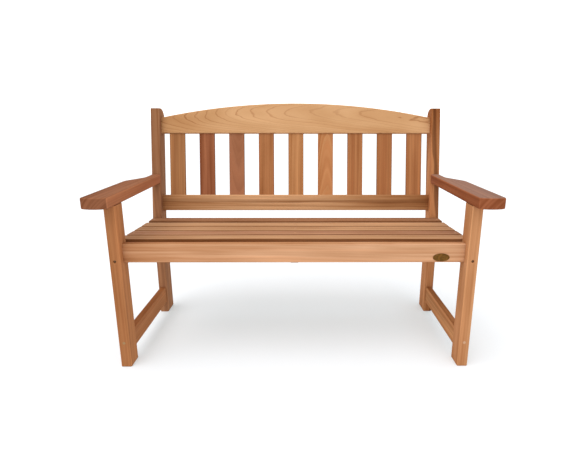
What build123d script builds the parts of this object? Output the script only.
from build123d import *

import math
import os

# A two-seat slatted garden bench in solid softwood.
# Millimetres. X runs along the bench, Y from front to back, Z up, floor at zero.
# While it is drawn, Y is counted from the front legs' front faces. The last step
# moves everything so that the origin lies on the floor under the middle of the bench.

# Main frame
bench_width = 1220.0  # over the outer faces of the legs
leg_thickness = 37.0  # legs, posts and arms share this stock
front_leg_depth = 64.0
post_depth = 75.0
seat_depth = 377.0  # clear distance between front leg and post
rake_angle = 11.0  # degrees
knee_drop = 16.0  # the posts start to lean this far below the seat's lowest line
post_crown_radius = 42.0  # rounding of the post's top rear corner
leg_ease = 5.0
foot_chamfer = 2.0

# Boards
board_thickness = 25.0  # stretchers, apron, rails and seat carriers
board_ease = 3.5
stretcher_height = 70.0
stretcher_clearance = 46.0  # floor to the stretcher's lower edge
apron_height = 66.0
apron_drop = 56.0  # its lower edge below the seat's lowest line
apron_setback = 26.0  # from the front legs' front faces
back_seat_rail_height = 66.0
back_seat_rail_drop = 23.0  # its upper edge below the seat's lowest line
side_rail_height = 52.0  # at its lowest, under the last slat
centre_support_height = 40.0  # likewise
centre_support_housing = 8.0  # depth let into the apron

# Seat
seat_slat_count = 5
seat_slat_thickness = 22.0
seat_slat_ease = 1.5
seat_slat_gap = 9.0
seat_front_gap = 14.0  # front leg to first slat
seat_rear_gap = 1.0  # last slat to post
last_slat_gap = 22.0  # wider gap before the last slat
seat_low_height = 434.0
seat_low_share = 0.97  # how far back the hollow's lowest line lies
seat_hollow_radius = 5200.0

# Back
rail_setback = 25.0  # rails' front faces behind the posts' front faces
lower_rail_height = 67.0
lower_rail_gap = 25.0  # its lower edge above the seat's lowest line
crest_end_height = 66.0
crest_rise = 60.0
back_opening = 262.0  # between the two rails, up the rake
post_overhang = 38.0  # post tops above the crest rail's ends
back_slat_count = 9
back_slat_inset = 65.0  # from the post to the first slat's middle
back_slat_width = 65.0
back_slat_thickness = 13.0
back_slat_ease = 2.0
slat_housing = 12.0  # depth of the slats in both rails
fit_clearance = 0.2

# Arms
arm_height = 614.0
arm_width = 84.0
arm_overhang = 46.0  # ahead of the front leg, at the corners
arm_bow = 10.0  # further reach of the front edge's middle
arm_neck_length = 89.0  # narrow part ahead of the post
arm_taper_length = 91.0
arm_corner_radius = 7.0
arm_shoulder_radius = 40.0
arm_neck_radius = 60.0
arm_ease = 5.0

# Fasteners
screw_radius = 2.5
screw_head_radius = 4.6
screw_head_height = 3.0
screw_clearance = 0.2
plug_radius = 5.0
plug_fit = 0.05
plug_length = 9.0
slat_plug_length = 6.0
screw_grip = 38.0  # length of a frame screw in the second piece
slat_screw_grip = 16.0
support_screw_grip = 30.0
bolt_radius = 3.0
bolt_head_radius = 4.7
bolt_head_height = 4.0
bolt_recess = 10.0  # depth of the open counterbore
bolt_socket_radius = 2.6
bolt_socket_depth = 2.5
bolt_end = 8.0  # bolt beyond the nut's middle
barrel_nut_radius = 5.0
barrel_nut_length = 20.0
barrel_nut_inset = 35.0  # front nuts, from the rail's end
rear_nut_inset = 75.0
dowel_radius = 5.0
dowel_length = 40.0
low_screw_share = 0.66  # height of the screws in the stretchers
bolt_share = 0.47  # height of the bolts in the side seat rails
apron_screw_shares = (0.42, 0.79)
back_seat_rail_screw_shares = (0.25, 0.80)
back_rail_screw_shares = (0.25, 0.75)
dowel_shares = (0.28, 0.72)
support_screw_shares = (0.28, 0.72)

# Badge
badge_length = 56.0
badge_height = 28.0
badge_thickness = 1.5
badge_ease = 0.5
badge_inset = 79.0  # from the leg to the badge's middle
badge_share = 0.27  # of the apron's height
badge_pin_share = 0.8  # of the half length
badge_pin_radius = 0.8
badge_pin_head_radius = 1.6
badge_pin_head_height = 0.8
badge_pin_length = 8.0

# Places that follow from the sizes
leg_outer = bench_width / 2
leg_inner = leg_outer - leg_thickness
leg_middle = (leg_outer + leg_inner) / 2
carrier_inner = leg_middle - board_thickness / 2
carrier_outer = leg_middle + board_thickness / 2
post_front = front_leg_depth + seat_depth
post_back = post_front + post_depth
knee_height = seat_low_height - knee_drop
rear_knee_height = knee_height - post_depth * math.tan(math.radians(rake_angle) / 2)
front_leg_height = arm_height - leg_thickness
apron_back = apron_setback + board_thickness
apron_clearance = seat_low_height - apron_drop
apron_top = apron_clearance + apron_height
back_seat_rail_top = seat_low_height - back_seat_rail_drop
back_seat_rail_clearance = back_seat_rail_top - back_seat_rail_height
side_rail_clearance = seat_low_height - seat_slat_thickness - side_rail_height
centre_support_clearance = seat_low_height - seat_slat_thickness - centre_support_height
back_rail_front = post_front + rail_setback
back_rail_back = back_rail_front + board_thickness
rake = math.radians(rake_angle)
back_frame = Plane(
    origin=(0, post_front, knee_height),
    x_dir=(1, 0, 0),
    z_dir=(0, -math.cos(rake), math.sin(rake)),
)


def along_rake(height, setback):
    """Distance up the raked back for a height, this far behind its front plane."""
    return (height - knee_height + setback * math.sin(rake)) / math.cos(rake)


def rake_height(distance, setback):
    """Height of a point this far up the raked back and behind its front plane."""
    return knee_height + distance * math.cos(rake) - setback * math.sin(rake)


def post_rear(height):
    """Where the post's rear face lies at a height."""
    return post_back + max(0, height - rear_knee_height) * math.tan(rake)


lower_rail_low = along_rake(seat_low_height + lower_rail_gap, rail_setback)
lower_rail_high = lower_rail_low + lower_rail_height
crest_low = lower_rail_high + back_opening
crest_end_high = crest_low + crest_end_height
post_height = rake_height(crest_end_high, rail_setback) + post_overhang
rail_middle_setback = rail_setback + board_thickness / 2


def block(x_span, y_span, z_span):
    """A square-cornered block between two places on each axis."""
    low = (x_span[0], y_span[0], z_span[0])
    size = (x_span[1] - x_span[0], y_span[1] - y_span[0], z_span[1] - z_span[0])
    return Pos(*low) * Box(*size, align=(Align.MIN, Align.MIN, Align.MIN))


def eased(solid, axis, radius):
    """The solid with its edges along one axis rounded over."""
    return fillet(solid.edges().filter_by(axis), radius)


def mirrored(solid):
    """The same piece at the bench's other end."""
    return mirror(solid, about=Plane.YZ)


def pair(solid):
    """A piece of the right end and its twin at the left end."""
    return [solid, mirrored(solid)]


# Seat profile
slat_gaps = seat_front_gap + (seat_slat_count - 2) * seat_slat_gap + last_slat_gap + seat_rear_gap
seat_slat_width = (seat_depth - slat_gaps) / seat_slat_count
seat_low_place = front_leg_depth + seat_low_share * seat_depth


def hollow_height(y):
    """Height of the seat's hollow top at a distance from the front."""
    reach = y - seat_low_place
    return seat_low_height + seat_hollow_radius - math.sqrt(seat_hollow_radius**2 - reach**2)


def slat_front(index):
    """Where a seat slat's front edge lies, the first slat being number zero."""
    place = front_leg_depth + seat_front_gap + index * (seat_slat_width + seat_slat_gap)
    if index == seat_slat_count - 1:
        place += last_slat_gap - seat_slat_gap
    return place


def slat_frame(index):
    """The middle of a seat slat's top face, tilted with the hollow."""
    front = slat_front(index)
    rear = front + seat_slat_width
    front_height = hollow_height(front)
    rear_height = hollow_height(rear)
    tilt = math.atan2(rear_height - front_height, rear - front)
    middle = Pos(0, (front + rear) / 2, (front_height + rear_height) / 2)
    return middle * Rot(X=math.degrees(tilt))


def bearing_line(index):
    """Place, height and slope of the line that a seat slat rests on."""
    point = slat_frame(index) * Pos(0, 0, -seat_slat_thickness)
    ahead = slat_frame(index) * Pos(0, seat_slat_width, -seat_slat_thickness)
    slope = (ahead.position.Z - point.position.Z) / (ahead.position.Y - point.position.Y)
    return point.position.Y, point.position.Z, slope


def height_on(line, y):
    """Height of a bearing line at a distance from the front."""
    return line[1] + line[2] * (y - line[0])


def meeting_place(line, other):
    """Where two bearing lines cross, between their slats."""
    y = (other[1] - other[2] * other[0] - line[1] + line[2] * line[0]) / (line[2] - other[2])
    return y, height_on(line, y)


bearing_lines = [bearing_line(index) for index in range(seat_slat_count)]


def seat_carrier(x_span, y_span, bottom):
    """A board on edge whose top has one flat for each seat slat."""
    top = [(y_span[0], height_on(bearing_lines[0], y_span[0]))]
    for line, other in zip(bearing_lines, bearing_lines[1:]):
        top.append(meeting_place(line, other))
    top.append((y_span[1], height_on(bearing_lines[-1], y_span[1])))
    outline = Polyline((y_span[0], bottom), *top, (y_span[1], bottom), close=True)
    side = Plane.YZ.offset(x_span[0]) * make_face(outline)
    return extrude(side, amount=x_span[1] - x_span[0])


# Fasteners, drawn with their outer end at zero and pointing down
def rod(radius, length, top=0.0):
    """A round bar that hangs down from a height."""
    return Pos(0, 0, top) * Cylinder(radius, length, align=(Align.CENTER, Align.CENTER, Align.MAX))


def screw(length, depth):
    """A flat-headed screw whose head starts this deep below the face."""
    head = rod(screw_head_radius, screw_head_height, -depth)
    shank = rod(screw_radius, length, -depth - screw_head_height)
    return head + shank


def screw_hole(length, depth):
    """Counterbore and shank hole for such a screw."""
    seat = depth + screw_head_height
    counterbore = rod(plug_radius, seat)
    shank = rod(screw_radius + screw_clearance, length + screw_clearance, -seat)
    return counterbore + shank


def plug(length):
    """A wood plug, flush with the face, that rests on the screw's head."""
    return rod(plug_radius - plug_fit, length)


def connector_bolt(length):
    """A bolt with a socket head, sunk in an open recess."""
    head = rod(bolt_head_radius, bolt_head_height, bolt_head_height - bolt_recess)
    shank = rod(bolt_radius, length, -bolt_recess)
    socket_face = Pos(0, 0, bolt_head_height - bolt_recess) * RegularPolygon(bolt_socket_radius, 6)
    return head + shank - extrude(socket_face, amount=-bolt_socket_depth)


def bolt_hole(length):
    """Recess and shank hole for such a bolt."""
    shank = rod(bolt_radius + screw_clearance, length + screw_clearance, -bolt_recess)
    return rod(plug_radius, bolt_recess) + shank


# Where fasteners enter: each place has its Z axis pointing out of the face
def facing_front(x, y, z):
    return Location(Plane(origin=(x, y, z), x_dir=(1, 0, 0), z_dir=(0, -1, 0)))


def facing_back(x, y, z):
    return Location(Plane(origin=(x, y, z), x_dir=(1, 0, 0), z_dir=(0, 1, 0)))


def facing_right(x, y, z):
    return Location(Plane(origin=(x, y, z), x_dir=(0, 1, 0), z_dir=(1, 0, 0)))


front_rail_height = height_on(bearing_lines[0], front_leg_depth) - side_rail_clearance
rear_rail_height = height_on(bearing_lines[-1], post_front) - side_rail_clearance
front_bolt_height = side_rail_clearance + bolt_share * front_rail_height
rear_bolt_height = side_rail_clearance + bolt_share * rear_rail_height
front_bolt_place = facing_front(leg_middle, 0, front_bolt_height)
rear_bolt_place = facing_back(leg_middle, post_rear(rear_bolt_height), rear_bolt_height)
front_bolt_length = front_leg_depth - bolt_recess + barrel_nut_inset + bolt_end
rear_bolt_length = post_rear(rear_bolt_height) - post_front - bolt_recess + rear_nut_inset + bolt_end
plugged_depth = plug_length + screw_head_height

low_screw_height = stretcher_clearance + low_screw_share * stretcher_height
low_front_place = facing_front(leg_middle, 0, low_screw_height)
low_rear_place = facing_back(leg_middle, post_back, low_screw_height)
low_front_length = front_leg_depth - plugged_depth + screw_grip
low_rear_length = post_depth - plugged_depth + screw_grip
side_screw_length = leg_thickness - plugged_depth + screw_grip

apron_places = [
    facing_right(leg_outer, apron_setback + board_thickness / 2, apron_clearance + share * apron_height)
    for share in apron_screw_shares
]
back_seat_rail_places = [
    facing_right(
        leg_outer,
        back_rail_front + board_thickness / 2,
        back_seat_rail_clearance + share * back_seat_rail_height,
    )
    for share in back_seat_rail_screw_shares
]
support_low = centre_support_clearance
support_high = height_on(bearing_lines[-1], back_rail_front)
support_places = [
    facing_back(0, back_rail_back, support_low + share * (support_high - support_low))
    for share in support_screw_shares
]
support_screw_length = board_thickness - screw_head_height + support_screw_grip


def raked_place(distance):
    """A place on a post's outer face, beside the middle of a back rail."""
    return back_frame.location * Pos(leg_outer, distance, -rail_middle_setback) * Rot(Y=90)


lower_rail_places = [
    raked_place(lower_rail_low + share * lower_rail_height) for share in back_rail_screw_shares
]
crest_places = [raked_place(crest_low + share * crest_end_height) for share in back_rail_screw_shares]
arm_middle_height = arm_height - leg_thickness / 2
arm_screw_low = arm_middle_height - (post_depth / 2) * math.sin(rake)
arm_screw_distance = (arm_screw_low - knee_height) / math.cos(rake)
arm_screw_place = back_frame.location * Pos(leg_middle, arm_screw_distance, -post_depth) * Rot(X=180)
arm_screw_length = post_depth - plugged_depth + screw_grip

slat_screw_columns = (-leg_middle, 0, leg_middle)
slat_screw_depth = slat_plug_length + screw_head_height
slat_screw_length = seat_slat_thickness - slat_screw_depth + slat_screw_grip
dowel_bottom = front_leg_height - dowel_length / 2
dowel_places = [(leg_middle, share * front_leg_depth) for share in dowel_shares]


def drilled(solid, places, hole):
    """The solid with the same hole at several places."""
    for place in places:
        solid -= place * hole
    return solid


def dowel(radius, gap):
    """One upright dowel between leg and arm, or its hole when there is a gap."""
    return Pos(0, 0, dowel_bottom - gap) * Cylinder(
        radius + gap, dowel_length + 2 * gap, align=(Align.CENTER, Align.CENTER, Align.MIN)
    )


def dowel_holes():
    return [Pos(x, y, 0) * dowel(dowel_radius, screw_clearance) for x, y in dowel_places]


# Frame at each end
def make_front_leg():
    leg = block((leg_inner, leg_outer), (0, front_leg_depth), (0, front_leg_height))
    leg = eased(leg, Axis.Z, leg_ease)
    leg = chamfer(leg.faces().sort_by(Axis.Z)[0].edges(), foot_chamfer)
    leg = drilled(leg, [front_bolt_place], bolt_hole(front_bolt_length))
    leg = drilled(leg, [low_front_place], screw_hole(low_front_length, plug_length))
    leg = drilled(leg, apron_places, screw_hole(side_screw_length, plug_length))
    for hole in dowel_holes():
        leg -= hole
    return leg


def make_back_post():
    crown_shift = (post_height - knee_height) * math.tan(rake)
    outline = Polyline(
        (post_front, 0),
        (post_front, knee_height),
        (post_front + crown_shift, post_height),
        (post_rear(post_height), post_height),
        (post_back, rear_knee_height),
        (post_back, 0),
        close=True,
    )
    post = extrude(Plane.YZ.offset(leg_inner) * make_face(outline), amount=leg_thickness)
    crown = post.edges().filter_by(Axis.X).sort_by(Axis.Y)[-1]
    post = fillet(crown, post_crown_radius)
    post = fillet(post.faces().filter_by(Axis.X).edges(), leg_ease)
    post = drilled(post, [rear_bolt_place], bolt_hole(rear_bolt_length))
    post = drilled(post, [low_rear_place], screw_hole(low_rear_length, plug_length))
    side_places = back_seat_rail_places + lower_rail_places + crest_places
    post = drilled(post, side_places, screw_hole(side_screw_length, plug_length))
    return drilled(post, [arm_screw_place], screw_hole(arm_screw_length, plug_length))


def make_arm():
    arm_outer = leg_inner + arm_width
    rear = post_front + (arm_height - knee_height) * math.tan(rake) + leg_thickness
    neck = post_front + (arm_height - knee_height) * math.tan(rake) - arm_neck_length
    shoulder = neck - arm_taper_length
    front_edge = ThreePointArc(
        (leg_inner, -arm_overhang),
        ((leg_inner + arm_outer) / 2, -arm_overhang - arm_bow),
        (arm_outer, -arm_overhang),
    )
    sides = Polyline(
        (arm_outer, -arm_overhang),
        (arm_outer, shoulder),
        (leg_outer, neck),
        (leg_outer, rear),
        (leg_inner, rear),
        (leg_inner, -arm_overhang),
    )
    arm = extrude(Pos(0, 0, front_leg_height) * make_face(front_edge + sides), amount=leg_thickness)

    def upright(x, y):
        return arm.edges().filter_by(Axis.Z).sort_by_distance((x, y, arm_middle_height))[0]

    arm = fillet([upright(leg_inner, -arm_overhang), upright(arm_outer, -arm_overhang)], arm_corner_radius)
    arm = fillet(upright(arm_outer, shoulder), arm_shoulder_radius)
    arm = fillet(upright(leg_outer, neck), arm_neck_radius)
    rim = arm.faces().filter_by(Axis.Z).edges().filter_by(Axis.X, reverse=True)
    arm = fillet(rim, arm_ease)
    arm = split(arm, bisect_by=back_frame, keep=Keep.TOP)
    arm = drilled(arm, [arm_screw_place], screw_hole(arm_screw_length, plug_length))
    for hole in dowel_holes():
        arm -= hole
    return arm


def make_side_stretcher():
    top = stretcher_clearance + stretcher_height
    board = block((carrier_inner, carrier_outer), (front_leg_depth, post_front), (stretcher_clearance, top))
    board = eased(board, Axis.Y, board_ease)
    board = drilled(board, [low_front_place], screw_hole(low_front_length, plug_length))
    return drilled(board, [low_rear_place], screw_hole(low_rear_length, plug_length))


def nut_place(y, height):
    """The middle of a barrel nut, with its Z axis along the bench."""
    return Pos(leg_middle, y, height) * Rot(Y=90)


front_nut_place = nut_place(front_leg_depth + barrel_nut_inset, front_bolt_height)
rear_nut_place = nut_place(post_front - rear_nut_inset, rear_bolt_height)


def make_side_seat_rail():
    rail = seat_carrier((carrier_inner, carrier_outer), (front_leg_depth, post_front), side_rail_clearance)
    rail = drilled(rail, [front_bolt_place], bolt_hole(front_bolt_length))
    rail = drilled(rail, [rear_bolt_place], bolt_hole(rear_bolt_length))
    pocket = Cylinder(barrel_nut_radius + screw_clearance, barrel_nut_length + 2 * screw_clearance)
    mouth = rod(barrel_nut_radius + screw_clearance, board_thickness / 2)
    rail = drilled(rail, [front_nut_place, rear_nut_place], pocket + mouth)
    return drill_slat_screws(rail)


# Cross members
def drill_slat_screws(solid):
    """Screw holes of every seat slat, at both ends and in the middle."""
    hole = screw_hole(slat_screw_length, slat_plug_length)
    for place in slat_screw_places():
        solid -= place * hole
    return solid


def slat_screw_places():
    return [
        slat_frame(index) * Pos(x, 0, 0)
        for index in range(seat_slat_count)
        for x in slat_screw_columns
    ]


def make_centre_support():
    half = board_thickness / 2
    span = (apron_back - centre_support_housing, back_rail_front)
    support = seat_carrier((-half, half), span, centre_support_clearance)
    support = drilled(support, support_places, screw_hole(support_screw_length, 0))
    return drill_slat_screws(support)


def badge_place():
    x = leg_inner - badge_inset
    return facing_front(x, apron_setback, apron_clearance + badge_share * apron_height)


def badge_pin_places():
    reach = badge_pin_share * badge_length / 2
    return [badge_place() * Pos(side * reach, 0, badge_thickness) for side in (-1, 1)]


def make_front_apron():
    apron = block((-leg_inner, leg_inner), (apron_setback, apron_back), (apron_clearance, apron_top))
    apron = eased(apron, Axis.X, board_ease)
    half = board_thickness / 2 + fit_clearance
    floor = apron_back - centre_support_housing
    support_top = height_on(bearing_lines[0], floor) + fit_clearance
    apron -= block((-half, half), (floor, apron_back), (support_low - fit_clearance, support_top))
    for hole in pair_of_holes(apron_places, screw_hole(side_screw_length, plug_length)):
        apron -= hole
    pin_hole = rod(badge_pin_radius, badge_pin_length + screw_clearance)
    return drilled(apron, badge_pin_places(), pin_hole)


def pair_of_holes(places, hole):
    """Holes at the right end and their twins at the left end."""
    cutters = []
    for place in places:
        cutters += pair(place * hole)
    return cutters


def make_back_seat_rail():
    z_span = (back_seat_rail_clearance, back_seat_rail_top)
    rail = block((-leg_inner, leg_inner), (back_rail_front, back_rail_back), z_span)
    rail = eased(rail, Axis.X, board_ease)
    for hole in pair_of_holes(back_seat_rail_places, screw_hole(side_screw_length, plug_length)):
        rail -= hole
    return drilled(rail, support_places, screw_hole(support_screw_length, 0))


def make_seat_slat(index):
    slat = Box(
        2 * carrier_outer,
        seat_slat_width,
        seat_slat_thickness,
        align=(Align.CENTER, Align.CENTER, Align.MAX),
    )
    slat = eased(slat, Axis.X, seat_slat_ease)
    slat = slat_frame(index) * slat
    hole = screw_hole(slat_screw_length, slat_plug_length)
    for x in slat_screw_columns:
        slat -= slat_frame(index) * Pos(x, 0, 0) * hole
    return slat


# Back, drawn flat and then leaned with the posts
def back_slat_place(index):
    first = back_slat_inset - leg_inner
    return first - 2 * first * index / (back_slat_count - 1)


def housings(edge, direction):
    """Slots for the back slats' ends in a rail's edge."""
    width = back_slat_width + 2 * fit_clearance
    thickness = back_slat_thickness + 2 * fit_clearance
    middle = edge + direction * slat_housing / 2
    slot = Box(width, slat_housing, thickness)
    return [
        Pos(back_slat_place(index), middle, -rail_middle_setback) * slot
        for index in range(back_slat_count)
    ]


def finish_back_rail(rail, edge, direction, places):
    """Ease a back rail, cut its slots, lean it and drill its ends."""
    rail = fillet(rail.faces().filter_by(Axis.Z).edges().filter_by(Axis.Y, reverse=True), board_ease)
    for slot in housings(edge, direction):
        rail -= slot
    rail = back_frame.location * rail
    for hole in pair_of_holes(places, screw_hole(side_screw_length, plug_length)):
        rail -= hole
    return rail


def make_lower_back_rail():
    depth_span = (-rail_setback - board_thickness, -rail_setback)
    rail = block((-leg_inner, leg_inner), (lower_rail_low, lower_rail_high), depth_span)
    return finish_back_rail(rail, lower_rail_high, -1, lower_rail_places)


def make_crest_rail():
    left, right = -leg_inner, leg_inner
    edges = Polyline((left, crest_end_high), (left, crest_low), (right, crest_low), (right, crest_end_high))
    arch = ThreePointArc((right, crest_end_high), (0, crest_end_high + crest_rise), (left, crest_end_high))
    face = Pos(0, 0, -rail_setback - board_thickness) * make_face(edges + arch)
    rail = extrude(face, amount=board_thickness)
    return finish_back_rail(rail, crest_low, 1, crest_places)


def make_back_slat(index):
    half = back_slat_width / 2
    x = back_slat_place(index)
    low = lower_rail_high - slat_housing
    high = crest_low + slat_housing
    near = -rail_middle_setback + back_slat_thickness / 2
    slat = block((x - half, x + half), (low, high), (near - back_slat_thickness, near))
    return back_frame.location * eased(slat, Axis.Y, back_slat_ease)


# Hardware groups
def screws_at(places, length):
    """Plugged screws at these places and at their mirror places."""
    return [twin for place in places for twin in pair(place * screw(length, plug_length))]


def plugs_at(places):
    return [twin for place in places for twin in pair(place * plug(plug_length))]


def make_bolts():
    front = front_bolt_place * connector_bolt(front_bolt_length)
    rear = rear_bolt_place * connector_bolt(rear_bolt_length)
    return pair(front) + pair(rear)


def make_barrel_nuts():
    nut = Cylinder(barrel_nut_radius, barrel_nut_length)
    thread = Rot(X=90) * Cylinder(bolt_radius + screw_clearance, 2 * barrel_nut_radius)
    nut -= thread
    return pair(front_nut_place * nut) + pair(rear_nut_place * nut)


def make_badge():
    plate = extrude(Ellipse(badge_length / 2, badge_height / 2), amount=badge_thickness)
    plate = fillet(plate.faces().sort_by(Axis.Z)[-1].edges(), badge_ease)
    plate = badge_place() * plate
    return drilled(plate, badge_pin_places(), rod(badge_pin_radius, badge_thickness))


def make_badge_pins():
    shank_radius = badge_pin_radius - plug_fit
    pin = rod(shank_radius, badge_pin_length) + rod(
        badge_pin_head_radius, badge_pin_head_height, badge_pin_head_height
    )
    return [place * pin for place in badge_pin_places()]


def collect():
    """Every piece of the bench by name, as lists of solids."""
    pieces = {}
    ends = {
        "front_leg": make_front_leg(),
        "back_post": make_back_post(),
        "arm": make_arm(),
        "side_stretcher": make_side_stretcher(),
        "side_seat_rail": make_side_seat_rail(),
    }
    for name, solid in ends.items():
        pieces[name + "_right"] = [solid]
        pieces[name + "_left"] = [mirrored(solid)]
    pieces["centre_seat_support"] = [make_centre_support()]
    pieces["front_apron"] = [make_front_apron()]
    pieces["back_seat_rail"] = [make_back_seat_rail()]
    pieces["lower_back_rail"] = [make_lower_back_rail()]
    pieces["crest_rail"] = [make_crest_rail()]
    for index in range(seat_slat_count):
        pieces[f"seat_slat_{index + 1}"] = [make_seat_slat(index)]
    for index in range(back_slat_count):
        pieces[f"back_slat_{index + 1}"] = [make_back_slat(index)]
    pieces["seat_rail_bolts"] = make_bolts()
    pieces["barrel_nuts"] = make_barrel_nuts()
    front_screws = screws_at([low_front_place], low_front_length)
    pieces["stretcher_screws"] = front_screws + screws_at([low_rear_place], low_rear_length)
    pieces["apron_screws"] = screws_at(apron_places, side_screw_length)
    pieces["back_seat_rail_screws"] = screws_at(back_seat_rail_places, side_screw_length)
    pieces["lower_rail_screws"] = screws_at(lower_rail_places, side_screw_length)
    pieces["crest_rail_screws"] = screws_at(crest_places, side_screw_length)
    pieces["arm_screws"] = screws_at([arm_screw_place], arm_screw_length)
    support_screw = screw(support_screw_length, 0)
    pieces["centre_support_screws"] = [place * support_screw for place in support_places]
    slat_screw = screw(slat_screw_length, slat_plug_length)
    pieces["seat_slat_screws"] = [place * slat_screw for place in slat_screw_places()]
    pieces["seat_slat_plugs"] = [place * plug(slat_plug_length) for place in slat_screw_places()]
    pieces["front_leg_plugs"] = plugs_at([low_front_place] + apron_places)
    side_places = back_seat_rail_places + lower_rail_places + crest_places
    pieces["back_post_plugs"] = plugs_at([low_rear_place, arm_screw_place] + side_places)
    dowels = [Pos(x, y, 0) * dowel(dowel_radius, 0) for x, y in dowel_places]
    pieces["arm_dowels"] = [twin for one in dowels for twin in pair(one)]
    pieces["badge"] = [make_badge()]
    pieces["badge_pins"] = make_badge_pins()
    return pieces


def main():
    os.makedirs("parts", exist_ok=True)
    pieces = collect()
    boxes = [solid.bounding_box() for solids in pieces.values() for solid in solids]
    front = min(box.min.Y for box in boxes)
    back = max(box.max.Y for box in boxes)
    centred = Pos(0, -(front + back) / 2, 0)
    for name, solids in pieces.items():
        moved = [(centred * solid).solid() for solid in solids]
        shape = moved[0] if len(moved) == 1 else Compound(children=moved)
        export_step(shape, f"parts/{name}.step")
    top = max(box.max.Z for box in boxes)
    print("pieces:", len(pieces), "depth:", back - front, "height:", top, "front legs at y", centred.position.Y)


main()
